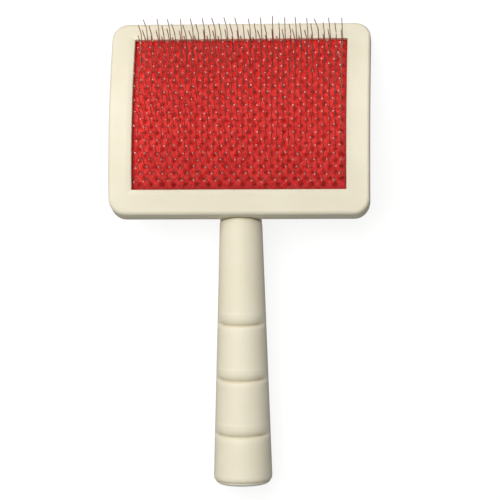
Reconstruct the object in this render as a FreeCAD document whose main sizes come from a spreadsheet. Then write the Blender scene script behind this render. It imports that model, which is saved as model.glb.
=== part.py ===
import FreeCAD, Part
import math
import os
import Sketcher
from FreeCAD import Placement, Rotation, Vector

# Slicker brush lying on its back, wire pins up. The head is an arc about the X axis: everything
# in it is drawn in the head frame, where X is the arc's axis, Z is the direction the head is
# moulded in and Y runs across the head towards the end away from the handle. One placement at
# the end lays all the pieces on the table.

os.makedirs("parts", exist_ok=True)
doc = FreeCAD.newDocument("slicker_brush")

# ---------------------------------------------------------------- driving dimensions (mm, deg)
DIMENSIONS = {
    "head_width": 120.0,
    "head_chord": 91.4,
    "head_corner": 7.4,
    "face_radius": 128.0,
    "seam_radius": 124.8,
    "floor_radius": 119.4,
    "back_radius": 117.3,
    "face_edge_fillet": 1.5,
    "back_edge_fillet": 2.2,
    "wall": 2.2,
    "window_half_width": 49.3,
    "window_low": -34.6,
    "window_high": 37.3,
    "bevel_width": 2.4,
    "bevel_depth": 0.4,
    "peg_radius": 1.3,
    "socket_radius": 2.3,
    "socket_play": 0.05,
    "neck_axis_height": 105.4,
    "neck_tilt": 16.9,
    "neck_root_radius": 9.7,
    "neck_nose_radius": 4.4,
    "neck_length": 58.0,
    "neck_fillet": 1.6,
    "neck_stub": 0.4,
    "spigot_radius": 4.95,
    "spigot_length": 22.0,
    "grip_length": 122.6,
    "grip_top_radius": 9.8,
    "grip_end_radius": 13.75,
    "grip_end_dome": 1.1,
    "grip_end_fillet": 4.4,
    "grip_top_chamfer": 0.35,
    "grip_bore_radius": 5.0,
    "grip_bore_depth": 96.0,
    "groove_first": 46.8,
    "groove_pitch": 25.7,
    "groove_wire": 1.6,
    "groove_depth": 0.8,
    "pad_margin": 3.0,
    "facing_top_radius": 124.6,
    "facing_thickness": 1.5,
    "cloth_thickness": 1.0,
    "foam_clearance": 0.05,
    "wire_radius": 0.225,
    "pin_pitch": 5.31,
    "pin_offset": 0.5,
    "pins_per_row": 18,
    "row_count": 26,
    "row_low_angle": -15.3,
    "row_high_angle": 15.62,
    "pin_lower_length": 10.2,
    "pin_lower_lean": 22.0,
    "pin_upper_length": 11.3,
    "pin_upper_lean": 8.5,
    "knee_bend_radius": 2.2,
    "crown_bend_radius": 0.8,
}

sheet = doc.addObject("Spreadsheet::Sheet", "dims")
for line, (alias, value) in enumerate(DIMENSIONS.items(), start=1):
    sheet.set(f"A{line}", alias)
    sheet.set(f"B{line}", str(value))
    sheet.setAlias(f"B{line}", alias)
doc.recompute()


def size(alias):
    return float(sheet.get(alias))


# ---------------------------------------------------------------- helpers for bound primitives
BLOCK_BOTTOM = 90.0
BLOCK_HEIGHT = 50.0


def bind(item, **expressions):
    for name, expression in expressions.items():
        item.setExpression(name.replace("__", "."), expression)
    return item


def edges_where(shape, test):
    return [number for number, edge in enumerate(shape.Edges, start=1) if test(edge)]


def fillet(name, base, radius, test):
    doc.recompute()
    item = doc.addObject("Part::Fillet", name)
    item.Base = base
    item.Edges = [(number, radius, radius) for number in edges_where(base.Shape, test)]
    return item


def is_upright(edge):
    low, high = edge.Vertexes[0].Point, edge.Vertexes[-1].Point
    return math.hypot(low.x - high.x, low.y - high.y) < 1e-6 and abs(low.z - high.z) > 1.0


def upright_block(name, half_width, y_low, y_high, corner):
    """A tall block with rounded upright corners: the outline of a head piece seen from above."""
    box = doc.addObject("Part::Box", name + "_box")
    bind(box, Length=f"2 * ({half_width})", Width=f"({y_high}) - ({y_low})",
         Placement__Base__x=f"-({half_width})", Placement__Base__y=y_low)
    box.Height = BLOCK_HEIGHT
    box.Placement.Base.z = BLOCK_BOTTOM
    if not corner:
        return box
    return fillet(name, box, corner, is_upright)


def arc_drum(name, radius):
    """A cylinder about the head's arc axis, longer than the head is wide."""
    drum = doc.addObject("Part::Cylinder", name)
    drum.Placement = Placement(Vector(0, 0, 0), Rotation(Vector(0, 1, 0), 90))
    bind(drum, Radius=radius, Height="dims.head_width + 20", Placement__Base__x="-dims.head_width / 2 - 10")
    return drum


def boolean(kind, name, base, tool):
    item = doc.addObject("Part::" + kind, name)
    item.Base = base
    item.Tool = tool
    return item


def fuse_all(name, pieces):
    item = doc.addObject("Part::MultiFuse", name)
    item.Shapes = pieces
    return item


def arc_slab(name, block, outer_radius, inner_radius):
    """The part of an upright block that lies between two radii of the head's arc."""
    capped = boolean("Common", name + "_capped", block, arc_drum(name + "_outer", outer_radius))
    return boolean("Cut", name, capped, arc_drum(name + "_inner", inner_radius))


def on_arc(edge, radius):
    """True for an edge whose ends and middle all lie at one radius of the head's arc."""
    middle = edge.valueAt((edge.FirstParameter + edge.LastParameter) / 2)
    points = [vertex.Point for vertex in edge.Vertexes] + [middle]
    return all(abs(math.hypot(point.y, point.z) - radius) < 0.02 for point in points)


def upright_cylinder(name, x, y, radius, low, high):
    post = doc.addObject("Part::Cylinder", name)
    post.Placement.Base = Vector(x, y, low)
    post.Height = high - low
    bind(post, Radius=radius)
    return post


def arc_height(radius, y):
    return math.sqrt(radius**2 - y**2)


# ---------------------------------------------------------------- front frame and back shell
FACE_RADIUS = size("face_radius")
SEAM_RADIUS = size("seam_radius")
FLOOR_RADIUS = size("floor_radius")
HALF_WIDTH = "dims.head_width / 2"
HALF_CHORD = "dims.head_chord / 2"
PEG_PLACES = [(side * 55.3, y) for side in (-1, 1) for y in (-34.0, 0.0, 34.0)]
PEG_PLACES += [(side * 28.0, -41.0) for side in (-1, 1)]


def bevel_tool():
    """A picture-frame bevel round the window, mitred at its corners and following the arc."""
    half = size("window_half_width")
    low, high = size("window_low"), size("window_high")
    width, depth = size("bevel_width"), size("bevel_depth")
    beyond = FACE_RADIUS + 6
    sides = Part.makePolygon([
        Vector(-half - width, 0, FACE_RADIUS), Vector(-half, 0, FACE_RADIUS - depth),
        Vector(half, 0, FACE_RADIUS - depth), Vector(half + width, 0, FACE_RADIUS),
        Vector(half + width, 0, beyond), Vector(-half - width, 0, beyond),
        Vector(-half - width, 0, FACE_RADIUS),
    ])
    swung = Part.Face(sides).revolve(Vector(0, 0, 0), Vector(1, 0, 0), 180)
    swung.rotate(Vector(0, 0, 0), Vector(1, 0, 0), -90)

    def at(y, radius):
        return Vector(-half - width - 1, y, arc_height(radius, y))

    ends = Part.makePolygon([
        at(low - width, FACE_RADIUS), at(low, FACE_RADIUS - depth),
        at(low, FACE_RADIUS - depth) - Vector(0, 0, 1), at(high, FACE_RADIUS - depth) - Vector(0, 0, 1),
        at(high, FACE_RADIUS - depth), at(high + width, FACE_RADIUS),
        at(high + width, beyond), at(low - width, beyond), at(low - width, FACE_RADIUS),
    ])
    pulled = Part.Face(ends).extrude(Vector(2 * (half + width + 1), 0, 0))
    return swung.common(pulled)


head_block = upright_block("head_block", HALF_WIDTH, f"-{HALF_CHORD}", HALF_CHORD, size("head_corner"))
frame_slab = arc_slab("frame_slab", head_block, "dims.face_radius", "dims.seam_radius")
frame_rounded = fillet("frame_rounded", frame_slab, size("face_edge_fillet"),
                       lambda edge: on_arc(edge, FACE_RADIUS))
window = upright_block("window", "dims.window_half_width", "dims.window_low", "dims.window_high", 0)
frame_open = boolean("Cut", "frame_open", frame_rounded, window)
bevel = doc.addObject("Part::Feature", "window_bevel")
bevel.Shape = bevel_tool()
frame_bevelled = boolean("Cut", "frame_bevelled", frame_open, bevel)
pegs = [
    upright_cylinder(f"peg_{number}", x, y, "dims.peg_radius",
                     arc_height(FLOOR_RADIUS, y) + 1.0, arc_height(SEAM_RADIUS, y) + 1.2)
    for number, (x, y) in enumerate(PEG_PLACES)
]

front_frame = fuse_all("front_frame", [frame_bevelled] + pegs)

neck_place = Placement(
    Vector(0, -size("head_chord") / 2, size("neck_axis_height")),
    Rotation(Vector(1, 0, 0), 90 + size("neck_tilt")),
)


def along_neck(start):
    """The neck frame: its Z runs down the handle, its Y points to the pin side."""
    return neck_place * Placement(Vector(0, 0, start), Rotation())


shell_block = upright_block("shell_block", HALF_WIDTH, f"-{HALF_CHORD}", HALF_CHORD, size("head_corner"))
shell_slab = arc_slab("shell_slab", shell_block, "dims.seam_radius", "dims.back_radius")
shell_rounded = fillet("shell_rounded", shell_slab, size("back_edge_fillet"),
                       lambda edge: on_arc(edge, size("back_radius")))
neck = doc.addObject("Part::Cone", "neck")
bind(neck, Radius1="dims.neck_nose_radius", Radius2="dims.neck_root_radius",
     Height="dims.neck_length + dims.neck_stub")
neck.Placement = along_neck(-size("neck_length"))
neck_trimmed = boolean("Common", "neck_trimmed", neck, arc_drum("neck_limit", "dims.seam_radius - 0.05"))
spigot = doc.addObject("Part::Cylinder", "spigot")
bind(spigot, Radius="dims.spigot_radius", Height="dims.spigot_length + 2")
spigot.Placement = along_neck(-2)
shell_solid = fuse_all("shell_solid", [shell_rounded, neck_trimmed, spigot])
shell_blended = fillet(
    "shell_blended", shell_solid, size("neck_fillet"),
    lambda edge: on_arc(edge, size("back_radius")) and all(abs(vertex.X) < 12 for vertex in edge.Vertexes))
cavity_block = upright_block(
    "cavity_block", f"{HALF_WIDTH} - dims.wall", f"dims.wall - {HALF_CHORD}",
    f"{HALF_CHORD} - dims.wall", size("head_corner") - size("wall"))
cavity = arc_slab("cavity", cavity_block, "dims.face_radius", "dims.floor_radius")
shell_tray = boolean("Cut", "shell_tray", shell_blended, cavity)
sockets = [
    upright_cylinder(f"socket_{number}", x, y, "dims.socket_radius",
                     arc_height(FLOOR_RADIUS, y) - 1.2, arc_height(SEAM_RADIUS, y) + 2)
    for number, (x, y) in enumerate(PEG_PLACES)
]
socket_posts = boolean("Common", "socket_posts", fuse_all("socket_set", sockets),
                       arc_drum("socket_limit", "dims.seam_radius - 0.1"))
socket_bores = fuse_all("socket_bores", [
    upright_cylinder(f"socket_bore_{number}", x, y, "dims.peg_radius + dims.socket_play",
                     arc_height(FLOOR_RADIUS, y) + 0.6, arc_height(SEAM_RADIUS, y) + 4)
    for number, (x, y) in enumerate(PEG_PLACES)
])
shell_posted = boolean("Fuse", "shell_posted", shell_tray, socket_posts)
back_shell = boolean("Cut", "back_shell", shell_posted, socket_bores)

# ---------------------------------------------------------------- handle
handle = doc.addObject("PartDesign::Body", "handle")


def origin_plane(body, role):
    return next(item for item in body.Origin.OriginFeatures if item.Role == role)


def pin_point(sketch, geometry, position, x=None, y=None):
    """Ties a sketch point to the sheet; no x means that it lies on the upright axis."""
    if x is None:
        sketch.addConstraint(Sketcher.Constraint("PointOnObject", geometry, position, -2))
    else:
        index = sketch.addConstraint(Sketcher.Constraint("DistanceX", -1, 1, geometry, position, 1.0))
        sketch.setExpression(f"Constraints[{index}]", x)
    if y is None:
        sketch.addConstraint(Sketcher.Constraint("PointOnObject", geometry, position, -1))
    else:
        index = sketch.addConstraint(Sketcher.Constraint("DistanceY", -1, 1, geometry, position, 1.0))
        sketch.setExpression(f"Constraints[{index}]", y)


def handle_profile(body):
    """Half of the handle's long section: a tapered grip, a domed end and a blind bore."""
    sketch = body.newObject("Sketcher::SketchObject", "handle_profile")
    sketch.AttachmentSupport = (origin_plane(body, "XZ_Plane"), [""])
    sketch.MapMode = "FlatFace"
    bore, depth = size("grip_bore_radius"), size("grip_bore_depth")
    top, end = size("grip_top_radius"), size("grip_end_radius")
    length, dome = size("grip_length"), size("grip_end_dome")
    chamfer = size("grip_top_chamfer")
    outline = [(0, length), (0, depth), (bore, depth), (bore, 0), (top - chamfer, 0), (top, chamfer),
               (end, length - dome)]
    for start, stop in zip(outline, outline[1:]):
        sketch.addGeometry(Part.LineSegment(Vector(*start, 0), Vector(*stop, 0)), False)
    dome_radius = (end**2 + dome**2) / (2 * dome)
    start_angle = math.asin((dome_radius - dome) / dome_radius)
    circle = Part.Circle(Vector(0, length - dome_radius, 0), Vector(0, 0, 1), dome_radius)
    sketch.addGeometry(Part.ArcOfCircle(circle, start_angle, math.pi / 2), False)
    lines = len(outline) - 1
    for line in range(lines - 1):
        sketch.addConstraint(Sketcher.Constraint("Coincident", line, 2, line + 1, 1))
    sketch.addConstraint(Sketcher.Constraint("Coincident", lines - 1, 2, lines, 1))
    sketch.addConstraint(Sketcher.Constraint("Coincident", lines, 2, 0, 1))
    sketch.addConstraint(Sketcher.Constraint("PointOnObject", lines, 3, -2))
    pin_point(sketch, 0, 1, None, "dims.grip_length")
    pin_point(sketch, 1, 1, None, "dims.grip_bore_depth")
    pin_point(sketch, 2, 1, "dims.grip_bore_radius", "dims.grip_bore_depth")
    pin_point(sketch, 3, 1, "dims.grip_bore_radius")
    pin_point(sketch, 4, 1, "dims.grip_top_radius - dims.grip_top_chamfer")
    pin_point(sketch, 5, 1, "dims.grip_top_radius", "dims.grip_top_chamfer")
    pin_point(sketch, 5, 2, "dims.grip_end_radius", "dims.grip_length - dims.grip_end_dome")
    return sketch


profile = handle_profile(handle)
turned = handle.newObject("PartDesign::Revolution", "turned_grip")
turned.Profile = profile
turned.ReferenceAxis = (profile, ["V_Axis"])
turned.Angle = 360
doc.recompute()


def is_end_rim(edge):
    points = [vertex.Point for vertex in edge.Vertexes]
    return all(
        abs(point.z - (size("grip_length") - size("grip_end_dome"))) < 0.01
        and math.hypot(point.x, point.y) > size("grip_end_radius") - 0.01
        for point in points
    )


rim = edges_where(turned.Shape, is_end_rim)
end_round = handle.newObject("PartDesign::Fillet", "end_round")
end_round.Base = (turned, [f"Edge{number}" for number in rim])
bind(end_round, Radius="dims.grip_end_fillet")
doc.recompute()

# Each thumb groove is deepest on the pin side and runs out at the flanks: its ring sits behind
# the handle's axis by the groove's depth.
for number in range(3):
    along = f"(dims.groove_first + {number} * dims.groove_pitch)"
    local = (f"(dims.grip_top_radius + (dims.grip_end_radius - dims.grip_top_radius)"
             f" * {along} / dims.grip_length)")
    before = handle.Shape.Volume
    groove = handle.newObject("PartDesign::SubtractiveTorus", f"thumb_groove_{number + 1}")
    groove.AttachmentSupport = (origin_plane(handle, "XY_Plane"), [""])
    groove.MapMode = "FlatFace"
    bind(groove, Radius1=f"{local} + dims.groove_wire", Radius2="dims.groove_wire",
         AttachmentOffset__Base__y="-dims.groove_depth", AttachmentOffset__Base__z=along)
    doc.recompute()
    if handle.Shape.Volume > before - 5:
        raise RuntimeError(f"{groove.Name} cut nothing")

# ---------------------------------------------------------------- pad: facing, cloth and cushion
FACING_TOP = size("facing_top_radius")
CLOTH_TOP = FACING_TOP - size("facing_thickness")
CLOTH_BOTTOM = CLOTH_TOP - size("cloth_thickness")
CROWN_RADIUS = CLOTH_BOTTOM - size("wire_radius")
PAD_CORNER = 2.0


def pad_layer(name, shrink, outer_radius, inner_radius):
    block = upright_block(
        name + "_block", f"dims.window_half_width + dims.pad_margin - {shrink}",
        f"dims.window_low - dims.pad_margin + {shrink}",
        f"dims.window_high + dims.pad_margin - {shrink}", PAD_CORNER)
    return arc_slab(name, block, outer_radius, inner_radius)


facing_low = "dims.facing_top_radius - dims.facing_thickness"
cloth_low = facing_low + " - dims.cloth_thickness"
rubber_facing = pad_layer("rubber_facing", 0, "dims.facing_top_radius", facing_low)
foundation_cloth = pad_layer("foundation_cloth", 0.3, facing_low, cloth_low)
foam_top = cloth_low + " - 2 * dims.wire_radius - dims.foam_clearance"
foam_cushion = pad_layer("foam_cushion", 0.5, foam_top, "dims.floor_radius")


# ---------------------------------------------------------------- wire pins, set as two-leg staples
def leaned(lean, length):
    """A run of wire in the plane across a row: lean is towards the head's far end."""
    angle = math.radians(lean)
    return Vector(0, math.sin(angle), math.cos(angle)) * length


def rounded_path(points, radii):
    """Straight runs through the points, with a tangent arc of its radius at each inner point."""
    edges = []
    start = points[0]
    for before, corner, after, radius in zip(points, points[1:], points[2:], radii):
        incoming = (before - corner).normalize()
        outgoing = (after - corner).normalize()
        half = incoming.getAngle(outgoing) / 2
        setback = radius / math.tan(half)
        first = corner + incoming * setback
        last = corner + outgoing * setback
        bisector = (incoming + outgoing).normalize()
        middle = corner + bisector * (radius / math.sin(half) - radius)
        edges.append(Part.LineSegment(start, first).toShape())
        edges.append(Part.Arc(first, middle, last).toShape())
        start = last
    edges.append(Part.LineSegment(start, points[-1]).toShape())
    return Part.Wire(edges)


def make_staple():
    """Two kneed legs joined by a crown under the cloth, one row pitch apart, crown at the origin."""
    spread = size("pin_pitch") / 2
    buried = (FACING_TOP - CROWN_RADIUS) / math.cos(math.radians(size("pin_lower_lean")))
    knee = leaned(size("pin_lower_lean"), buried + size("pin_lower_length"))
    tip = knee + leaned(-size("pin_upper_lean"), size("pin_upper_length"))
    left = Vector(-spread, 0, 0)
    right = Vector(spread, 0, 0)
    points = [left + tip, left + knee, left, right, right + knee, right + tip]
    radii = [size("knee_bend_radius"), size("crown_bend_radius"),
             size("crown_bend_radius"), size("knee_bend_radius")]
    path = rounded_path(points, radii)
    along = (points[1] - points[0]).normalize()
    section = Part.Wire(Part.Circle(points[0], along, size("wire_radius")).toShape())
    staple = path.makePipeShell([section], True, False)
    expected = math.pi * size("wire_radius") ** 2 * path.Length
    if abs(staple.Volume - expected) > 0.01 * expected:
        raise RuntimeError("the staple's sweep has the wrong volume")
    return staple


def make_row(staple, angle, shift):
    """One row of staples, standing on the arc at its angle from the mould direction."""
    pitch = size("pin_pitch")
    count = int(size("pins_per_row")) // 2
    turn = Rotation(Vector(1, 0, 0), -angle)
    base = turn.multVec(Vector(0, 0, CROWN_RADIUS))
    staples = []
    for number in range(count):
        x = (2 * number - (count - 1)) * pitch + shift
        copy = staple.copy()
        copy.Placement = Placement(base + Vector(x, 0, 0), turn)
        staples.append(copy)
    return Part.makeCompound(staples)


ROWS = int(size("row_count"))
staple = make_staple()
staple_rows = []
for number in range(ROWS):
    share = number / (ROWS - 1)
    angle = size("row_low_angle") + share * (size("row_high_angle") - size("row_low_angle"))
    side = 1 if (ROWS - 1 - number) % 2 == 0 else -1
    row = doc.addObject("Part::Feature", f"staple_row_{number + 1:02d}")
    row.Shape = make_row(staple, angle, size("pin_offset") + side * size("pin_pitch") / 4)
    staple_rows.append(row)

# ---------------------------------------------------------------- laying the brush on the table
doc.recompute()
sub_parts = [back_shell, front_frame, handle, foam_cushion, foundation_cloth, rubber_facing] + staple_rows
handle.Placement = along_neck(size("neck_stub"))
doc.recompute()


def lowest(points, tilt):
    return min(tilt.multVec(point).z for point in points)


def lying_tilt(head, grip):
    """The turn about X at which the head's far edge and the grip's end both touch the table."""
    head_points = head.tessellate(0.03)[0]
    grip_points = grip.tessellate(0.03)[0]
    flat, steep = 5.0, 25.0
    for _ in range(30):
        middle = (flat + steep) / 2
        tilt = Rotation(Vector(1, 0, 0), -middle)
        if lowest(head_points, tilt) > lowest(grip_points, tilt):
            flat = middle
        else:
            steep = middle
    return middle


tilt_angle = lying_tilt(back_shell.Shape, handle.Shape)
table_turn = Placement(Vector(0, 0, 0), Rotation(Vector(1, 0, 0), -tilt_angle))
turned_all = Part.makeCompound([item.Shape for item in sub_parts])
turned_all.Placement = table_turn
reach = turned_all.optimalBoundingBox(False, False)
table_place = Placement(
    Vector(-(reach.XMin + reach.XMax) / 2, -(reach.YMin + reach.YMax) / 2, -reach.ZMin),
    Rotation(Vector(1, 0, 0), -tilt_angle),
)
for item in sub_parts:
    item.Label = item.Name
    item.Placement = table_place * item.Placement
doc.recompute()

# ---------------------------------------------------------------- checks and STEP files
for item in doc.Objects:
    if "Invalid" in item.State or "Error" in item.State:
        raise RuntimeError(f"{item.Name} failed: {item.State}")
for item in sub_parts:
    shape = item.Shape
    if shape.isNull() or not shape.isValid():
        raise RuntimeError(f"{item.Label} has no valid shape")
    shape.exportStep(f"parts/{item.Label}.step")
    box = shape.BoundBox
    print(f"{item.Label}: {len(shape.Solids)} solids, {shape.Volume:.1f} mm3,"
          f" z {box.ZMin:.2f} to {box.ZMax:.2f}")
print(f"lies turned by {tilt_angle:.2f} degrees; {reach.XLength:.1f} x {reach.YLength:.1f} x {reach.ZLength:.1f} mm")
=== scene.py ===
"""Slicker brush, lying on its back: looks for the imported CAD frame.

Everything is in metres in the row frame. The head is a slice of an arc about ARC_CENTRE, so most
pieces are laid out by x, by a distance along or angle round that arc, and by radius from its axis.
"""

import math
import random

import bpy
import numpy as np
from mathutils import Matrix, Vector


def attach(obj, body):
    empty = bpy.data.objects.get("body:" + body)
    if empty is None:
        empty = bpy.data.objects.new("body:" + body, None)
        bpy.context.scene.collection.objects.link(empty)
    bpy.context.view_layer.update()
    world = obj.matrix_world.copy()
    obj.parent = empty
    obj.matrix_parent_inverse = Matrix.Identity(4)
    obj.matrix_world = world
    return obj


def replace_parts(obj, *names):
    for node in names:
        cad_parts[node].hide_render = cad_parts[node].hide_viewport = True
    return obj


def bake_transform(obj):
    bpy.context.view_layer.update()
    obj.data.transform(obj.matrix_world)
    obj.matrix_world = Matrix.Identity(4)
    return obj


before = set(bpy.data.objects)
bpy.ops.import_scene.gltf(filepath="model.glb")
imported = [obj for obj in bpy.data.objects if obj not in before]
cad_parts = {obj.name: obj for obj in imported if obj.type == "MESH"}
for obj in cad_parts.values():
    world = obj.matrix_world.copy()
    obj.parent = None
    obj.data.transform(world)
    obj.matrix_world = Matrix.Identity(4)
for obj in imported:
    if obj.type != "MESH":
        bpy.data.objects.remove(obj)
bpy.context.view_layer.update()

# ---------------------------------------------------------------- the head's layout, as in the CAD
MM = 0.001
TILT = math.radians(14.426)          # how far the head's mould direction leans towards +Y
ARC_CENTRE = (32.572 * MM, -94.751 * MM)  # y and z of the arc's axis, which runs along x
HEAD_X = 60.0 * MM                   # half of the head's width and of its chord
HEAD_Y = 45.7 * MM
HEAD_CORNER = 7.4 * MM
FACE = 128.0 * MM                    # radii of the face, and of the seam between frame and shell
SEAM = 124.8 * MM
FACING_TOP = 124.6 * MM
CLOTH_TOP = 123.1 * MM
CLOTH_BOTTOM = 122.1 * MM
FOAM_TOP = 121.6 * MM
FOAM_BOTTOM = 119.4 * MM
FLOOR = 119.4 * MM                   # the tray's inside and the shell's back
BACK = 117.3 * MM
WINDOW_X = 49.3 * MM
WINDOW_LOW = -34.6 * MM
WINDOW_HIGH = 37.3 * MM
PAD_MARGIN = 3.0 * MM

SHARP_ANGLE = math.radians(40)       # edges steeper than this are shaded as edges
WIRE_RADIUS = 0.225 * MM
CROWN_RADIUS = CLOTH_BOTTOM - WIRE_RADIUS
PIN_PITCH = 5.31 * MM
PIN_OFFSET = 0.5 * MM
PINS_PER_ROW = 18
ROWS = 26
ROW_LOW = math.radians(-15.3)
ROW_HIGH = math.radians(15.62)
LOWER_LENGTH = 10.2 * MM
LOWER_LEAN = math.radians(22.0)
UPPER_LENGTH = 11.3 * MM
UPPER_LEAN = math.radians(8.5)


def on_arc(x, angle, radius):
    """Row frame points at an angle from the mould direction and a radius from the arc's axis."""
    x, angle, radius = np.broadcast_arrays(x, np.asarray(angle) + TILT, radius)
    return np.stack([x, ARC_CENTRE[0] + radius * np.sin(angle),
                     ARC_CENTRE[1] + radius * np.cos(angle)], axis=-1)


def row_angle(row):
    return ROW_LOW + (ROW_HIGH - ROW_LOW) * row / (ROWS - 1)


def row_shift(row):
    """Alternate rows are set half a pin pitch apart."""
    side = 1 if (ROWS - 1 - row) % 2 == 0 else -1
    return PIN_OFFSET + side * PIN_PITCH / 4


# ---------------------------------------------------------------- mesh helpers
def add_mesh(name, vertices, faces, smooth=True):
    mesh = bpy.data.meshes.new(name)
    mesh.from_pydata(np.asarray(vertices, float).tolist(), [], faces)
    mesh.validate()
    mesh.polygons.foreach_set("use_smooth", [smooth] * len(mesh.polygons))
    mesh.update()
    piece = bpy.data.objects.new(name, mesh)
    bpy.context.scene.collection.objects.link(piece)
    return piece


def paint(piece, name, values):
    """Stores one number for each vertex, which a material reads by name."""
    attribute = piece.data.attributes.new(name, "FLOAT", "POINT")
    attribute.data.foreach_set("value", np.asarray(values, np.float32).ravel())


def closed_grid(rows, columns, layers=2):
    """Faces of a closed slab of equal grids of vertices, the uppermost first."""
    size = rows * columns
    under = (layers - 1) * size
    faces = []
    for i in range(rows - 1):
        for j in range(columns - 1):
            a, b = i * columns + j, (i + 1) * columns + j
            faces.append((a, a + 1, b + 1, b))
            faces.append((under + a, under + b, under + b + 1, under + a + 1))
    rim = list(range(columns))
    rim += [i * columns + columns - 1 for i in range(1, rows)]
    rim += [(rows - 1) * columns + j for j in range(columns - 2, -1, -1)]
    rim += [i * columns for i in range(rows - 2, 0, -1)]
    for up in range(0, under, size):
        for a, b in zip(rim, rim[1:] + rim[:1]):
            faces.append((up + b, up + a, up + size + a, up + size + b))
    return faces


def ring_walls(rings, sides, first=0):
    """Faces that join equal rings of vertices one after another."""
    faces = []
    for ring in range(rings - 1):
        for k in range(sides):
            a, b = first + ring * sides + k, first + ring * sides + (k + 1) % sides
            faces.append((a, b, b + sides, a + sides))
    return faces


def tube(rings, sides, first=0):
    """Faces that join equal rings one after another and close both ends with a cap."""
    last = first + (rings - 1) * sides
    front = tuple(first + k for k in reversed(range(sides)))
    back = tuple(last + k for k in range(sides))
    return ring_walls(rings, sides, first) + [front, back]


def full_turn(sides):
    """Equal steps round a circle, in radians."""
    return np.arange(sides) * 2 * math.pi / sides


def rounded_outline(x, y, half_x, low, high, corner):
    """Draws the corner points of a rectangular grid in onto rounded corners."""
    x, y = x.copy(), y.copy()
    middle, half_y = (low + high) / 2, (high - low) / 2
    over_x = np.abs(x) - (half_x - corner)
    over_y = np.abs(y - middle) - (half_y - corner)
    reach = np.hypot(over_x, over_y)
    in_corner = (over_x > 0) & (over_y > 0)
    furthest = np.maximum(over_x, over_y)
    scale = np.where(in_corner & (reach > 0), furthest / np.maximum(reach, 1e-9), 1.0)
    x = np.where(in_corner, np.sign(x) * (half_x - corner + over_x * scale), x)
    y = np.where(in_corner, middle + np.sign(y - middle) * (half_y - corner + over_y * scale), y)
    return x, y


def pad_grid(shrink, spacing):
    """Flat plan coordinates of a pad layer, and the number of grid rows and columns."""
    half_x = WINDOW_X + PAD_MARGIN - shrink
    low, high = WINDOW_LOW - PAD_MARGIN + shrink, WINDOW_HIGH + PAD_MARGIN - shrink
    columns = round(2 * half_x / spacing) + 1
    rows = round((high - low) / spacing) + 1
    x, y = np.meshgrid(np.linspace(-half_x, half_x, columns), np.linspace(low, high, rows))
    x, y = rounded_outline(x, y, half_x, low, high, 2 * MM)
    return x, y, rows, columns


def head_point(x, y, z):
    """Points of the head's own frame, in mm from the arc's axis, as points of the row frame."""
    forwards = (y * math.cos(TILT) + z * math.sin(TILT)) * MM
    upwards = (z * math.cos(TILT) - y * math.sin(TILT)) * MM
    return np.stack([x * MM, ARC_CENTRE[0] + forwards, ARC_CENTRE[1] + upwards], axis=-1)


def laid_on_arc(x, y, radius):
    """Plan coordinates raised to a radius: the sides of the head's layers are upright."""
    return on_arc(x, np.arcsin(y / radius), radius).reshape(-1, 3)


def layers_on_arc(plans):
    """A ring of vertices for each pair of plan points and radius."""
    return [laid_on_arc(plan[:, 0], plan[:, 1], np.full(len(plan), radius))
            for plan, radius in plans]


# ---------------------------------------------------------------- materials
def new_material(name):
    material = bpy.data.materials.new(name)
    material.use_nodes = True
    return material, material.node_tree.nodes["Principled BSDF"]


def node(material, kind, inputs=None, **settings):
    item = material.node_tree.nodes.new(kind)
    for key, value in settings.items():
        setattr(item, key, value)
    for key, value in (inputs or {}).items():
        if isinstance(value, bpy.types.NodeSocket):
            material.node_tree.links.new(value, item.inputs[key])
        else:
            item.inputs[key].default_value = value
    return item


def place(material):
    return node(material, "ShaderNodeTexCoord").outputs["Object"]


def noise(material, scale, detail=3.0, roughness=0.5):
    inputs = {"Vector": place(material), "Scale": scale, "Detail": detail, "Roughness": roughness}
    return node(material, "ShaderNodeTexNoise", inputs).outputs["Fac"]


def remap(material, value, low, high, to_low, to_high):
    inputs = {"Value": value, "From Min": low, "From Max": high, "To Min": to_low, "To Max": to_high}
    return node(material, "ShaderNodeMapRange", inputs).outputs["Result"]


def blend_colours(material, factor, first, second):
    """A colour mix. Sockets 0, 6, 7 and 2 are its factor, its two colours and its result."""
    inputs = {0: factor, 6: first, 7: second}
    return node(material, "ShaderNodeMix", inputs, data_type="RGBA").outputs[2]


def painted(material, name):
    """The number that paint() stored under a name."""
    return node(material, "ShaderNodeAttribute", attribute_name=name).outputs["Fac"]


def bump(material, height, distance, strength=1.0, onto=None):
    inputs = {"Height": height, "Distance": distance, "Strength": strength}
    if onto is not None:
        inputs["Normal"] = onto
    return node(material, "ShaderNodeBump", inputs).outputs["Normal"]


def join(material, socket, value):
    material.node_tree.links.new(value, socket)


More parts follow.
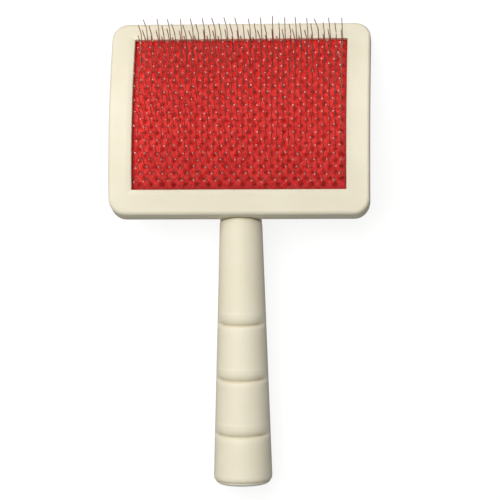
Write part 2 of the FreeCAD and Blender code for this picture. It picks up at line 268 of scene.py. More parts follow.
def ivory_plastic():
    """Satin moulded plastic: faint clouding in the colour, a fine grain and a slow waviness.

    The grip's painted values put painted shade in its grooves, its crease and its joint with the
    neck, and a painted highlight on its end cap.
    """
    material, shader = new_material("ivory_plastic")
    clouds = remap(material, noise(material, 45.0, 4.0), 0.3, 0.7, 0.0, 1.0)
    base = blend_colours(material, clouds, (0.80, 0.742, 0.575, 1), (0.845, 0.79, 0.63, 1))
    specks = remap(material, noise(material, 1600.0, 2.0), 0.62, 0.72, 0.0, 0.25)
    speckled = blend_colours(material, specks, base, (0.70, 0.63, 0.46, 1))
    # painted shade: a dark brown in the grip's grooves, its crease and its joint with the neck
    shaded = blend_colours(material, painted(material, "painted_shade"), speckled,
                           (0.47, 0.395, 0.245, 1))
    # painted highlight: a paler colour over the grip's end cap
    join(material, shader.inputs["Base Color"],
         blend_colours(material, painted(material, "pale"), shaded, (0.95, 0.91, 0.79, 1)))
    join(material, shader.inputs["Roughness"],
         remap(material, noise(material, 300.0, 4.0), 0.3, 0.7, 0.46, 0.58))
    waves = bump(material, noise(material, 55.0, 1.0), 0.0002, 0.5)
    join(material, shader.inputs["Normal"],
         bump(material, noise(material, 2600.0, 3.0), 0.00002, 0.5, waves))
    shader.inputs["Subsurface Weight"].default_value = 0.06
    shader.inputs["Subsurface Radius"].default_value = (0.003, 0.002, 0.001)
    shader.inputs["Subsurface Scale"].default_value = 1.0
    shader.inputs["IOR"].default_value = 1.49
    return material


def red_rubber():
    """Calendered rubber sheet, with painted shade round the pins and beside the window's walls."""
    material, shader = new_material("red_rubber")
    mottled = remap(material, noise(material, 420.0, 4.0), 0.35, 0.65, 0.0, 1.0)
    base = blend_colours(material, mottled, (0.70, 0.013, 0.012, 1), (1.0, 0.048, 0.040, 1))
    # painted shade: dark red round the pin roots, along the window's walls and towards the handle
    join(material, shader.inputs["Base Color"],
         blend_colours(material, painted(material, "painted_pad_shade"), base, (0.36, 0.007, 0.007, 1)))
    join(material, shader.inputs["Roughness"],
         remap(material, noise(material, 700.0, 4.0), 0.3, 0.7, 0.30, 0.46))
    lumps = bump(material, noise(material, 560.0, 2.0), 0.0008, 0.9)
    join(material, shader.inputs["Normal"],
         bump(material, noise(material, 1900.0, 4.0), 0.00005, 0.6, lumps))
    shader.inputs["IOR"].default_value = 1.52
    shader.inputs["Specular IOR Level"].default_value = 0.15
    return material


def steel_wire():
    """Plated spring wire with drawing marks, bright at its tips."""
    material, shader = new_material("steel_wire")
    tarnish = remap(material, noise(material, 400.0, 3.0), 0.35, 0.7, 0.0, 1.0)
    drawn = blend_colours(material, tarnish, (0.42, 0.375, 0.325, 1), (0.27, 0.235, 0.20, 1))
    join(material, shader.inputs["Base Color"],
         blend_colours(material, painted(material, "tip"), drawn, (0.93, 0.91, 0.87, 1)))
    join(material, shader.inputs["Roughness"],
         remap(material, noise(material, 2500.0, 3.0), 0.3, 0.7, 0.20, 0.36))
    join(material, shader.inputs["Normal"],
         bump(material, noise(material, 6000.0, 2.0), 0.00001, 0.4))
    shader.inputs["Metallic"].default_value = 0.72
    return material


def canvas():
    """Plain-woven backing cloth; the threads themselves are in the mesh, with painted shade where
    the weave dips.
    """
    material, shader = new_material("canvas")
    base = blend_colours(material, painted(material, "thread"),
                         (0.36, 0.31, 0.22, 1), (0.58, 0.52, 0.39, 1))
    fuzz = remap(material, noise(material, 3500.0, 4.0), 0.3, 0.7, 0.0, 0.5)
    join(material, shader.inputs["Base Color"],
         blend_colours(material, fuzz, base, (0.66, 0.60, 0.47, 1)))
    join(material, shader.inputs["Normal"],
         bump(material, noise(material, 5000.0, 4.0), 0.00008, 0.8))
    shader.inputs["Roughness"].default_value = 0.95
    shader.inputs["Sheen Weight"].default_value = 0.2
    return material


def foam_rubber():
    """Open-cell foam, cut from a sheet."""
    material, shader = new_material("foam")
    cells = node(material, "ShaderNodeTexVoronoi", {"Vector": place(material), "Scale": 1400.0},
                 feature="DISTANCE_TO_EDGE").outputs["Distance"]
    walls = remap(material, cells, 0.0, 0.12, 0.0, 1.0)
    join(material, shader.inputs["Base Color"],
         blend_colours(material, walls, (0.72, 0.66, 0.50, 1), (0.50, 0.44, 0.30, 1)))
    join(material, shader.inputs["Normal"], bump(material, cells, 0.0003, 0.9))
    shader.inputs["Roughness"].default_value = 0.9
    return material


def dress(piece, body, material):
    """Gives a new piece its material and the body that it rides on."""
    piece.data.materials.append(material)
    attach(piece, body)
    return piece


# ---------------------------------------------------------------- the front frame
SEAM_BEVEL = 0.14 * MM               # on each side of the seam between the frame and the shell
RIM_EDGE = 1.5 * MM
RIM_FLAT = 2.1 * MM                  # how far in the face is flat again
BEVEL_WIDTH = 2.4 * MM
BEVEL_DEPTH = 0.4 * MM
# Where the bevel starts: reach from the window, drop below the face and corner radius, in mm.
BEVEL_START = ((4.4, 0.0, 3.0), (2.75, 0.0, 1.0), (2.4, 0.015, 0.7), (2.05, 0.06, 0.6))
LIP = 0.5 * MM
LIP_CORNER = 0.25 * MM
PEG_SIDES = 24
PEG_PLACES = [(side * 55.3, y) for side in (-1, 1) for y in (-34.0, 0.0, 34.0)]   # x and y in mm
PEG_PLACES += [(side * 28.0, -41.0) for side in (-1, 1)]
PEG_TIP, PEG_RADIUS, PEG_CHAMFER = 0.9, 1.3, 0.4       # mm, as are the next two
PEG_GAP, PEG_ROOT = 1.0, 0.8         # above the tray's floor, and into the frame


def outline(half_x, low, high, corner, per_side=56, per_corner=8):
    """Plan points round a rounded rectangle, the same number of them for any size."""
    points = []
    centres = [(half_x - corner, high - corner), (corner - half_x, high - corner),
               (corner - half_x, low + corner), (half_x - corner, low + corner)]
    for quarter, (cx, cy) in enumerate(centres):
        turns = np.radians(90 * quarter + np.linspace(0, 90, per_corner + 1))
        arc = np.stack([cx + corner * np.cos(turns), cy + corner * np.sin(turns)], axis=-1)
        points.append(arc)
        following = centres[(quarter + 1) % 4]
        turn = math.radians(90 * (quarter + 1))
        end = np.array(following) + corner * np.array([math.cos(turn), math.sin(turn)])
        share = np.linspace(0, 1, per_side + 1)[1:-1, None]
        points.append(arc[-1] * (1 - share) + end * share)
    return np.concatenate(points)


def frame_loops():
    """Closed loops over the frame's section, from its outer wall over its face to the window."""
    loops = []

    def outer(inset, radius):
        plan = outline(HEAD_X - inset, inset - HEAD_Y, HEAD_Y - inset, HEAD_CORNER - inset)
        loops.append((plan, radius))

    def inner(reach, radius, corner):
        plan = outline(WINDOW_X + reach, WINDOW_LOW - reach, WINDOW_HIGH + reach, corner)
        loops.append((plan, radius))

    outer(SEAM_BEVEL, SEAM)
    outer(0.0, SEAM + SEAM_BEVEL)
    for turn in np.radians(np.linspace(0, 90, 8)):
        outer(RIM_EDGE * (1 - math.cos(turn)), FACE - RIM_EDGE + RIM_EDGE * math.sin(turn))
    outer(RIM_FLAT, FACE)
    for reach, drop, corner in BEVEL_START:
        inner(reach * MM, FACE - drop * MM, corner * MM)
    slope = math.atan2(BEVEL_DEPTH, BEVEL_WIDTH)
    depth = FACE - BEVEL_DEPTH - LIP
    for turn in np.linspace(math.pi / 2 - slope, 0, 7):
        inner(LIP * (1 - math.cos(turn)), depth + LIP * math.sin(turn), LIP_CORNER)
    inner(0.0, SEAM + 0.1 * MM, LIP_CORNER)
    inner(0.0, SEAM, LIP_CORNER)
    return loops


def make_frame(material):
    """The snap-in front frame, with its pegs."""
    rings = layers_on_arc(frame_loops())
    start = len(rings) * len(rings[0])
    vertices = list(rings)
    faces = [tuple(v % start for v in face) for face in ring_walls(len(rings) + 1, len(rings[0]))]
    turns = full_turn(PEG_SIDES)
    for x, y in PEG_PLACES:
        high = math.sqrt((SEAM / MM) ** 2 - y ** 2) + PEG_ROOT
        low = math.sqrt((FLOOR / MM) ** 2 - y ** 2) + PEG_GAP
        section = [(PEG_TIP, low), (PEG_RADIUS, low + PEG_CHAMFER), (PEG_RADIUS, high)]
        for radius, z in section:
            vertices.append(head_point(x + radius * np.cos(turns), y + radius * np.sin(turns),
                                       np.full(PEG_SIDES, z)))
        faces += tube(len(section), PEG_SIDES, start)
        start += len(section) * PEG_SIDES
    piece = add_mesh("frame_rim", np.concatenate(vertices), faces)
    piece.data.set_sharp_from_angle(angle=SHARP_ANGLE)
    dress(piece, "head", material)
    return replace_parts(piece, "front_frame")


# ---------------------------------------------------------------- the grip's axis, as in the CAD
GRIP_TOP = np.array((0.0, 14.172, 18.694)) * MM
GRIP_SLOPE = math.radians(2.4737)
WALL_SKEW = math.tan(math.radians(16.9))   # the grip's axis meets the head's wall at this slant


def grip_point(x, up, along):
    """Row frame points from mm across, above and along the grip's axis, which starts at GRIP_TOP."""
    down = np.array((0.0, -math.cos(GRIP_SLOPE), -math.sin(GRIP_SLOPE)))
    rise = np.array((0.0, -math.sin(GRIP_SLOPE), math.cos(GRIP_SLOPE)))
    return GRIP_TOP + (np.outer(x, (1, 0, 0)) + np.outer(up, rise) + np.outer(along, down)) * MM


# ---------------------------------------------------------------- the back shell
WALL = 2.2 * MM
BACK_EDGE = 2.2 * MM
FLOOR_STEPS = (45.3, 40, 34, 28, 22, 16, 10, 5, 2.6)                       # mm in from the outline
BACK_STEPS = (2.8, 4, 6, 9, 13, 18, 23, 28, 33, 37, 41, 44, 45.3)
NECK_SIDES = 96
NECK_START = -58.0                   # mm along the grip's axis
NECK_GAP = 0.4                       # mm between the neck's end and the grip
NECK_SKEW_RUN = 10.0                 # mm over which the neck turns square to the grip's slant
NECK_SMALL, NECK_LARGE = 4.4, 9.7    # radii in mm
NECK_CEILING = 118.4 * MM            # the neck stays inside the tray's floor
SPIGOT = ((-2.5, 4.95), (21.0, 4.95), (21.6, 4.4))     # mm along the axis, and radius


def shell_loops():
    """Closed loops over the shell, from the middle of its floor, over its rim, to its back."""
    loops = []

    def loop(inset, radius):
        corner = max(HEAD_CORNER - inset, 0.3 * MM)
        loops.append((outline(HEAD_X - inset, inset - HEAD_Y, HEAD_Y - inset, corner), radius))

    for inset in FLOOR_STEPS:
        loop(inset * MM, FLOOR)
    loop(WALL, FLOOR + 0.4 * MM)
    loop(WALL, SEAM - 0.1 * MM)
    loop(WALL - 0.1 * MM, SEAM)
    loop(SEAM_BEVEL, SEAM)
    loop(0.0, SEAM - SEAM_BEVEL)
    loop(0.0, SEAM - 2.0 * MM)
    for turn in np.radians(np.linspace(0, 90, 9)):
        loop(BACK_EDGE * (1 - math.cos(turn)), BACK + BACK_EDGE - BACK_EDGE * math.sin(turn))
    for inset in BACK_STEPS:
        loop(inset * MM, BACK)
    return loops


def make_shell(material):
    """The back shell: a curved tray, the tapered neck that runs out of its back, and a spigot."""
    vertices = layers_on_arc(shell_loops())
    faces = tube(len(vertices), len(vertices[0]))
    start = len(vertices) * len(vertices[0])
    turns = full_turn(NECK_SIDES)
    places = list(np.linspace(NECK_START, -12.0, 24)) + list(np.linspace(-11.0, 0.0, 14))
    for along in places:
        share = (along - NECK_START) / (NECK_GAP - NECK_START)
        radius = NECK_SMALL + (NECK_LARGE - NECK_SMALL) * share
        skew = -WALL_SKEW * radius * np.cos(turns) * max(0.0, 1 + along / NECK_SKEW_RUN)
        ring = grip_point(radius * np.sin(turns), radius * np.cos(turns), along - NECK_GAP + skew)
        y, z = ring[:, 1] - ARC_CENTRE[0], ring[:, 2] - ARC_CENTRE[1]
        shrink = np.minimum(1.0, NECK_CEILING / np.hypot(y, z))
        ring[:, 1], ring[:, 2] = ARC_CENTRE[0] + y * shrink, ARC_CENTRE[1] + z * shrink
        vertices.append(ring)
    faces += tube(len(places), NECK_SIDES, start)
    start += len(places) * NECK_SIDES
    for along, radius in SPIGOT:
        vertices.append(grip_point(radius * np.sin(turns), radius * np.cos(turns),
                                   np.full(NECK_SIDES, along)))
    faces += tube(len(SPIGOT), NECK_SIDES, start)
    piece = add_mesh("shell", np.concatenate(vertices), faces)
    piece.data.set_sharp_from_angle(angle=SHARP_ANGLE)
    dress(piece, "head", material)
    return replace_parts(piece, "back_shell")


# ---------------------------------------------------------------- the handle
GRIP_LENGTH = 122.6                  # all of the grip's sizes are in mm
GRIP_SMALL, GRIP_LARGE = 9.8, 13.75  # radii
GROOVES = (46.8, 72.5, 98.2)
GROOVE_DEPTH = 1.35
GROOVE_SHIFT, GROOVE_SAG = 0.25, 0.6  # along the grip at the pin side, and back at the flanks
GROOVE_FALL, GROOVE_RISE = 3.9, 1.5  # lengths of the long slope and of the short one
RIDGE_HEIGHT, RIDGE_PLACE, RIDGE_WIDTH = 0.10, -4.8, 0.9
CREASE_DEPTH, CREASE_PLACE, CREASE_WIDTH = 0.26, GRIP_LENGTH - 2.75, 0.3
# where the painted highlight on the end cap starts
CAP_START = GRIP_LENGTH - 2.4
JOINT_FADE = 0.8                     # how far the painted shade at the neck joint reaches
TOP_EDGE = ((0.0, -2.4), (0.0, -1.5), (0.12, -0.85), (0.38, -0.38), (0.8, -0.1))  # along, radius
END_FILLET, END_DOME = 4.0, 1.1
BORE = ((96.0, 0.5), (96.0, 5.0), (40.0, 5.0), (0.3, 5.0), (0.0, 5.4))            # along, radius
OUTSIDE = 5.5                        # the bore and the middle of the end are narrower than this
SLANT_RUN = 14.0                     # over which the grip's top turns square to its axis
GRIP_SIDES = 144


def groove_depth(along, turn):
    """Depth of the thumb grooves at a place along the grip and an angle from the pin side."""
    depth = np.zeros(np.broadcast(along, turn).shape)
    facing = np.clip((np.cos(turn) - 0.06) / 0.6, 0, 1)
    facing = facing * facing * (3 - 2 * facing)
    for middle in GROOVES:
        offset = along - middle - GROOVE_SHIFT + GROOVE_SAG * (1 - np.cos(turn))
        fall = np.clip(1 + offset / GROOVE_FALL, 0, 1) ** 2
        rise = np.clip(1 - offset / GROOVE_RISE, 0, 1) ** 1.5
        ridge = RIDGE_HEIGHT * np.exp(-((offset - RIDGE_PLACE) / RIDGE_WIDTH) ** 2)
        depth += facing * (GROOVE_DEPTH * np.where(offset < 0, fall, rise) - ridge)
    return depth


def taper(along):
    return GRIP_SMALL + (GRIP_LARGE - GRIP_SMALL) * along / GRIP_LENGTH


def grip_section():
    """Places along the grip and radii: up its bore, then from its top edge to its domed end."""
    top = taper(0)
    section = [*BORE, *((along, top + radius) for along, radius in TOP_EDGE), (1.3, taper(1.3))]
    fine = [middle + offset for middle in GROOVES for offset in np.arange(-7.0, 1.4, 0.2)]
    fine += [GRIP_LENGTH - END_FILLET - END_DOME - 0.2 * k for k in range(1, 3)]
    coarse = [along for along in np.arange(2.5, GRIP_LENGTH - END_FILLET - 1.6, 1.5)
              if min(abs(along - middle + 2.8) for middle in GROOVES) > 4.6]
    section += [(along, taper(along)) for along in sorted(fine + coarse)]
    corner = GRIP_LENGTH - END_DOME - END_FILLET
    centre = taper(corner) - END_FILLET
    for turn in np.radians(np.linspace(0, 82, 28)):
        section.append((corner + END_FILLET * math.sin(turn) * 1.06,
                        centre + END_FILLET * math.cos(turn)))
    reach, radius = section[-1]
    for share in (0.8, 0.55, 0.3, 0.1):
        section.append((reach + (GRIP_LENGTH - reach) * (1 - share ** 2), radius * share))
    return section


def make_grip(material):
    """The turned grip: a tapered barrel with thumb grooves, a crease by its end, and its bore."""
    turns = full_turn(GRIP_SIDES)
    rings, painted_shades, painted_highlights = [], [], []
    for along, radius in grip_section():
        radii = np.full(GRIP_SIDES, radius)
        painted_shade, pale = np.zeros(GRIP_SIDES), np.zeros(GRIP_SIDES)
        if radius > OUTSIDE:
            depth = groove_depth(along, turns)
            crease = math.exp(-((along - CREASE_PLACE) / CREASE_WIDTH) ** 2)
            radii -= depth + CREASE_DEPTH * crease
            # painted shade in the grooves, in the crease by the end and at the joint with the neck
            painted_shade = 0.62 * np.clip(depth / GROOVE_DEPTH, 0, 1) ** 1.5 + 0.5 * crease
            painted_shade = np.clip(painted_shade + 0.95 * math.exp(-(along / JOINT_FADE) ** 2), 0, 1)
            # painted highlight over the end cap
            pale += along > CAP_START
        painted_shades.append(painted_shade)
        painted_highlights.append(pale)
        slant = -WALL_SKEW * radii * np.cos(turns) - 0.3
        lifted = along + slant * max(0.0, 1 - along / SLANT_RUN)
        rings.append(grip_point(radii * np.sin(turns), radii * np.cos(turns), lifted))
    faces = [face[::-1] for face in tube(len(rings), GRIP_SIDES)]
    piece = add_mesh("grip", np.concatenate(rings), faces)
    paint(piece, "painted_shade", np.concatenate(painted_shades))
    paint(piece, "pale", np.concatenate(painted_highlights))
    piece.data.set_sharp_from_angle(angle=math.radians(50))
    dress(piece, "head", material)
    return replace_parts(piece, "handle")


# ---------------------------------------------------------------- the rubber facing
DIMPLE_REACH = 0.62 * MM             # the dimple at a pin's root
MOUND_REACH = 2.65 * MM              # how far from a root the sheet has risen fully
ROOT_SHADE_REACH = 1.0 * MM                 # the painted shade round a root
LEFT_SHADE, RIGHT_SHADE, LOW_SHADE = 1.2, 2.2, 3.0     # mm, reaches of the painted shade from the window's walls
LOW_FADE = 30.0                      # mm, over which painted shade darkens the pad slowly towards the handle


def pin_roots():
    """Plan x and y where each pin leaves the facing, in the head's own frame."""
    lean = math.atan2((FACING_TOP - CROWN_RADIUS) * math.tan(LOWER_LEAN), FACING_TOP)
    roots = []
    for row in range(ROWS):
        y = FACING_TOP * math.sin(row_angle(row) + lean)
        first = row_shift(row) - (PINS_PER_ROW - 1) / 2 * PIN_PITCH
        roots += [(first + pin * PIN_PITCH, y) for pin in range(PINS_PER_ROW)]
    return np.array(roots)


def nearest(points_x, points_y, roots):
    """Distance from each point to its nearest pin root, out to 6 mm."""
    best = np.full(points_x.shape, 1.0)
    for x, y in roots:
        rows = np.abs(points_y[:, 0] - y) < 6 * MM
        columns = np.abs(points_x[0] - x) < 6 * MM
        patch = np.ix_(rows, columns)
        best[patch] = np.minimum(best[patch], np.hypot(points_x[patch] - x, points_y[patch] - y))
    return best


def make_facing(material):
    """A rubber sheet quilted by the pins: it rises between them and dips at each one."""
    x, y, rows, columns = pad_grid(0.0, 0.38 * MM)
    gap = nearest(x, y, pin_roots())
    dimple = np.exp(-(gap / DIMPLE_REACH) ** 2)
    slope = np.clip(1.0 - gap / MOUND_REACH, 0.0, 1.0) ** 1.4
    rng = np.random.default_rng(11)
    coarse = rng.normal(size=(rows // 6 + 2, columns // 6 + 2))
    grain = np.kron(coarse, np.ones((6, 6)))[:rows, :columns]
    for _ in range(3):
        grain = (grain + np.roll(grain, 2, 0) + np.roll(grain, -2, 0)
                 + np.roll(grain, 2, 1) + np.roll(grain, -2, 1)) / 5
    inside = np.clip((WINDOW_X - np.abs(x)) / MM, 0, 1)
    inside *= np.clip((WINDOW_HIGH - y) / MM, 0, 1) * np.clip((y - WINDOW_LOW) / MM, 0, 1)
    height = (0.12 - 0.55 * slope - 0.20 * dimple + 0.06 * grain) * MM * inside
    top = laid_on_arc(x, y, FACING_TOP + height)
    bottom = laid_on_arc(x, y, np.full(x.shape, CLOTH_TOP))
    piece = add_mesh("rubber_sheet", np.concatenate([top, bottom]), closed_grid(rows, columns))
    left, right = np.clip(x + WINDOW_X, 0, 1) / MM, np.clip(WINDOW_X - x, 0, 1) / MM
    low = np.clip(y - WINDOW_LOW, 0, 1) / MM
    # painted shade along the window's walls and towards the handle, added to the painted shade round
    # each root
    wall = np.maximum(np.exp(-(left / LEFT_SHADE) ** 2), 0.8 * np.exp(-(right / RIGHT_SHADE) ** 2))
    wall = np.maximum(wall, 0.7 * np.exp(-(low / LOW_SHADE) ** 2))
    wall += 0.24 * np.clip(1 - low / LOW_FADE, 0, 1)
    painted_pad_shade = np.clip(0.66 * np.exp(-(gap / ROOT_SHADE_REACH) ** 2) * inside + wall, 0, 1)
    paint(piece, "painted_pad_shade", np.concatenate([painted_pad_shade.ravel(), np.zeros(x.size)]))
    dress(piece, "pad", material)
    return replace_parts(piece, "rubber_facing")


# ---------------------------------------------------------------- the cloth and the foam under it
WEAVE_HEIGHT = 0.06 * MM
WEAVE_ROOM = 0.08 * MM               # kept free above and below the cloth's threads
FOAM_LAYERS = (1.0, 0.66, 0.33, 0.0)  # shares of its depth, from its top down


def make_cloth(material):
    """The woven backing that the crowns bear on."""
    x, y, rows, columns = pad_grid(0.3 * MM, 0.45 * MM)
    i, j = np.indices(x.shape)
    weave = np.cos(i * math.pi / 2) * np.cos(j * math.pi / 2)
    height = WEAVE_HEIGHT * weave
    top = laid_on_arc(x, y, CLOTH_TOP - WEAVE_ROOM + height)
    bottom = laid_on_arc(x, y, CLOTH_BOTTOM + WEAVE_ROOM + height)
    piece = add_mesh("backing_cloth", np.concatenate([top, bottom]), closed_grid(rows, columns))
    # painted shade: darker where the weave dips, lighter on its raised crossings
    shade = (0.5 + 0.5 * weave).ravel()
    paint(piece, "thread", np.concatenate([shade, shade]))
    dress(piece, "pad", material)
    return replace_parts(piece, "foundation_cloth")


def make_foam(material):
    """The foam strip between the cloth and the head's floor, with its cut edges drawn in a little.

    It is made flat, then laid round the arc; its underside is the glued one.
    """
    x, y, rows, columns = pad_grid(0.5 * MM, 1.0 * MM)
    half_x, half_y = x.max(), (y.max() - y.min()) / 2
    edge = np.minimum(half_x - np.abs(x), half_y - np.abs(y - (y.max() + y.min()) / 2))
    rng = np.random.default_rng(5)
    sag = np.clip(1 - edge / (1.6 * MM), 0, 1) ** 2
    layers = []
    for share in FOAM_LAYERS:
        waist = 1.0 - 0.006 * math.sin(share * math.pi)
        depth = FOAM_BOTTOM + (FOAM_TOP - FOAM_BOTTOM) * share
        drop = (0.25 * sag * share + 0.04 * rng.random(x.shape) * (share == 1.0)) * MM
        layers.append(np.stack([x * waist, y * waist, depth - drop], axis=-1).reshape(-1, 3))
    flat = np.concatenate(layers)
    piece = add_mesh("foam_pad", flat, closed_grid(rows, columns, len(layers)))
    piece.data.materials.append(material)
    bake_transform(piece)
    bent = laid_on_arc(flat[:, 0], flat[:, 1], flat[:, 2])
    piece.data.vertices.foreach_set("co", bent.astype(np.float32).ravel())
    piece.data.update()
    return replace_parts(piece, "foam_cushion")


# ---------------------------------------------------------------- the wire pins
KNEE_BEND = 2.2 * MM                 # radii of the bends at the knees and at the crown
CROWN_BEND = 0.8 * MM
BEND_STEPS = 5
WIRE_SIDES = 8
# Each tip's rings: mm back from its end, and share of the wire's radius.
TIP_DOME = ((0.0, 0.55), (0.02, 0.80), (0.08, 0.96), (0.2, 1.14), (0.6, 1.12), (1.1, 1.0))
POLISHED_RINGS = 5                   # how many rings of each tip are bright


def rounded_path(points, radii, steps):
    """Straight runs through the points, with a tangent arc at each inner point."""
    path = [points[0]]
    for before, corner, after, radius in zip(points, points[1:], points[2:], radii):
        into, out = (before - corner).normalized(), (after - corner).normalized()
        half = into.angle(out) / 2
        setback = radius / math.tan(half)
        centre = corner + (into + out).normalized() * radius / math.sin(half)
        start = (corner + into * setback - centre).normalized()
        end = (corner + out * setback - centre).normalized()
        path += [centre + start.slerp(end, k / steps) * radius for k in range(steps + 1)]
    path.append(points[-1])
    return path


def sweep(path, radii, sides):
    """Vertices and faces of a round wire along a path, closed by a fan of faces at each end."""
    path = np.array(path)
    along = np.gradient(path, axis=0)
    along /= np.linalg.norm(along, axis=1)[:, None]
    across = np.cross(along[0], (0.31, 0.87, 0.39))    # any direction that no wire takes
    turns = full_turn(sides)
    rings = []
    for centre, direction, radius in zip(path, along, radii):
        across = across - direction * (across @ direction)
        across /= np.linalg.norm(across)
        other = np.cross(direction, across)
        round_it = np.outer(np.cos(turns), across) + np.outer(np.sin(turns), other)
        rings.append(centre + radius * round_it)
    vertices = np.concatenate(rings + [path[:1], path[-1:]])
    faces = ring_walls(len(path), sides)
    last, first_pole = (len(path) - 1) * sides, len(path) * sides
    for side in range(sides):
        following = (side + 1) % sides
        faces.append((first_pole, following, side))
        faces.append((first_pole + 1, last + side, last + following))
    return vertices, faces


def leg_points(rng, side):
    """Knee and tip of one leg in its row's frame (x, forwards, up), with a real wire's scatter."""
    buried = (FACING_TOP - CROWN_RADIUS) / math.cos(LOWER_LEAN)
    lower = buried + LOWER_LENGTH + rng.gauss(0, 0.15) * MM
    lean = LOWER_LEAN + math.radians(rng.gauss(0, 0.7))
    splay = math.radians(rng.gauss(0, 1.0))
    knee = Vector((side * PIN_PITCH / 2 + lower * math.sin(splay),
                   lower * math.sin(lean), lower * math.cos(lean)))
    lean = -UPPER_LEAN + math.radians(rng.gauss(0, 1.2))
    splay += math.radians(rng.gauss(0, 1.3))
    upper = UPPER_LENGTH + rng.gauss(0, 0.12) * MM
    tip = knee + Vector((upper * math.sin(splay), upper * math.sin(lean), upper * math.cos(lean)))
    return knee, tip


def make_pin_row(row, rng, material):
    """One row of staples: two kneed legs and the crown under the cloth that joins them."""
    vertices, faces, polish = [], [], []
    count = 0
    angle = row_angle(row) + TILT
    forwards = np.array([0, math.cos(angle), -math.sin(angle)])
    up = np.array([0, math.sin(angle), math.cos(angle)])
    for staple in range(PINS_PER_ROW // 2):
        middle = (2 * staple - (PINS_PER_ROW // 2 - 1)) * PIN_PITCH + row_shift(row)
        left_knee, left_tip = leg_points(rng, -1)
        right_knee, right_tip = leg_points(rng, 1)
        left, right = Vector((-PIN_PITCH / 2, 0, 0)), Vector((PIN_PITCH / 2, 0, 0))
        path = rounded_path([left_tip, left_knee, left, right, right_knee, right_tip],
                            [KNEE_BEND, CROWN_BEND, CROWN_BEND, KNEE_BEND], BEND_STEPS)
        end = (path[0] - path[1]).normalized() * MM
        path[:1] = [path[0] - end * back for back, _ in TIP_DOME]
        end = (path[-1] - path[-2]).normalized() * MM
        path[-1:] = [path[-1] - end * back for back, _ in reversed(TIP_DOME)]
        radii = [WIRE_RADIUS] * len(path)
        for k, (_, share) in enumerate(TIP_DOME):
            radii[k] = radii[-1 - k] = WIRE_RADIUS * share
        local, new_faces = sweep(path, radii, WIRE_SIDES)
        base = on_arc(middle, row_angle(row), CROWN_RADIUS)
        vertices.append(base + local @ np.array([(1, 0, 0), forwards, up]))
        bright = np.zeros(len(path))
        bright[:POLISHED_RINGS] = bright[-POLISHED_RINGS:] = 1.0
        polish.append(np.concatenate([np.repeat(bright, WIRE_SIDES), (1.0, 1.0)]))
        faces += [tuple(v + count for v in face) for face in new_faces]
        count += len(local)
    piece = add_mesh(f"pin_row_{row + 1:02d}", np.concatenate(vertices), faces)
    paint(piece, "tip", np.concatenate(polish))
    dress(piece, "pad", material)
    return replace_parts(piece, f"staple_row_{row + 1:02d}")


# ---------------------------------------------------------------- stage, light and camera
FLOOR_HALF = 4.0
BACKDROP_RADIUS, BACKDROP_HEIGHT, BACKDROP_SIDES = 3.9, 5.0, 96
FLOOR_GLOW, BACKDROP_GLOW, SKY_GLOW = 0.82, 0.86, 0.25
LAMP_PLACE = (-0.36, 0.54, 1.40)
LAMP_SIZE, LAMP_ENERGY, LAMP_COLOUR = 1.9, 27.5, (1.0, 0.99, 0.97)
CAMERA_PLACE = (0.10081, 0.03888, 1.25782)
CAMERA_TURN = (-1.7486, 4.4553, -0.2794)                # degrees about x, y and z
CAMERA_LENS = 193.58


def glowing_paper(name, scale, glow):
    """A pale surface that is partly its own light, with faint clouds in its grey."""
    material, shader = new_material(name)
    tone = remap(material, noise(material, scale, 3.0), 0.3, 0.7, 0.0, 1.0)
    join(material, shader.inputs["Base Color"],
         blend_colours(material, tone, (0.24, 0.24, 0.24, 1), (0.26, 0.26, 0.26, 1)))
    shader.inputs["Roughness"].default_value = 0.9
    shader.inputs["Emission Color"].default_value = (1.0, 1.0, 1.0, 1)
    shader.inputs["Emission Strength"].default_value = glow
    return material


def set_stage(piece, material):
    """Gives a stage piece its material, and keeps it from throwing light of its own onto the brush.
    """
    piece.data.materials.append(material)
    piece.visible_diffuse = piece.visible_glossy = False


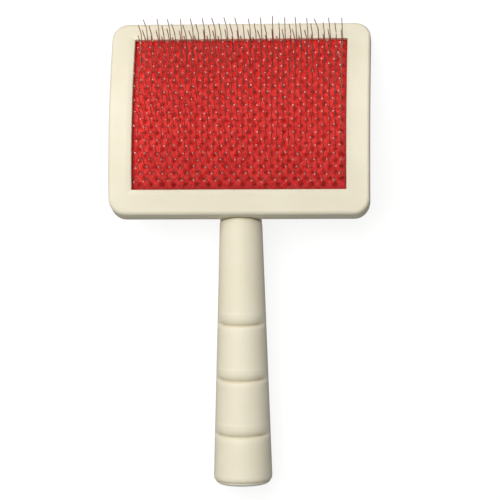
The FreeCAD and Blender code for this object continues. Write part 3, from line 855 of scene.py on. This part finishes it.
def make_stage():
    """The floor and a ring of pale backdrop round it."""
    corners = [(x * FLOOR_HALF, y * FLOOR_HALF, 0)
               for x, y in ((-1, -1), (1, -1), (1, 1), (-1, 1))]
    floor = add_mesh("floor", corners, [(0, 1, 2, 3)], smooth=False)
    set_stage(floor, glowing_paper("floor", 9.0, FLOOR_GLOW))
    turns = full_turn(BACKDROP_SIDES)
    ring = np.stack([BACKDROP_RADIUS * np.cos(turns), BACKDROP_RADIUS * np.sin(turns),
                     np.zeros(BACKDROP_SIDES)], axis=-1)
    walls = ring_walls(2, BACKDROP_SIDES)
    backdrop = add_mesh("backdrop", np.concatenate([ring, ring + (0, 0, BACKDROP_HEIGHT)]), walls)
    backdrop.visible_shadow = False
    set_stage(backdrop, glowing_paper("backdrop", 3.0, BACKDROP_GLOW))


def make_light():
    """One large soft lamp and a low even surround."""
    data = bpy.data.lights.new("key", "AREA")
    data.shape, data.size, data.energy, data.color = "DISK", LAMP_SIZE, LAMP_ENERGY, LAMP_COLOUR
    lamp = bpy.data.objects.new("key", data)
    bpy.context.scene.collection.objects.link(lamp)
    lamp.location = LAMP_PLACE
    lamp.rotation_euler = (-Vector(LAMP_PLACE)).to_track_quat("-Z", "Y").to_euler()
    world = bpy.data.worlds.new("studio")
    bpy.context.scene.world = world
    world.use_nodes = True
    sky = world.node_tree.nodes["Background"]
    sky.inputs["Color"].default_value = (1.0, 1.0, 1.0, 1)
    sky.inputs["Strength"].default_value = SKY_GLOW


def make_camera():
    """The photograph's viewing angle, from a camera fitted to the brush's outline."""
    data = bpy.data.cameras.new("camera")
    data.sensor_width = 36.0
    data.lens = CAMERA_LENS
    data.clip_end = 20.0
    camera = bpy.data.objects.new("camera", data)
    bpy.context.scene.collection.objects.link(camera)
    camera.location = CAMERA_PLACE
    camera.rotation_euler = [math.radians(a) for a in CAMERA_TURN]
    bpy.context.scene.camera = camera


def main():
    plastic = ivory_plastic()
    make_shell(plastic)
    make_frame(plastic)
    make_grip(plastic)
    make_facing(red_rubber())
    make_foam(foam_rubber())
    make_cloth(canvas())
    wire = steel_wire()
    rng = random.Random(20)
    for row in range(ROWS):
        make_pin_row(row, rng, wire)
    make_stage()
    make_light()
    make_camera()
    bpy.context.scene.view_settings.view_transform = "Standard"


main()
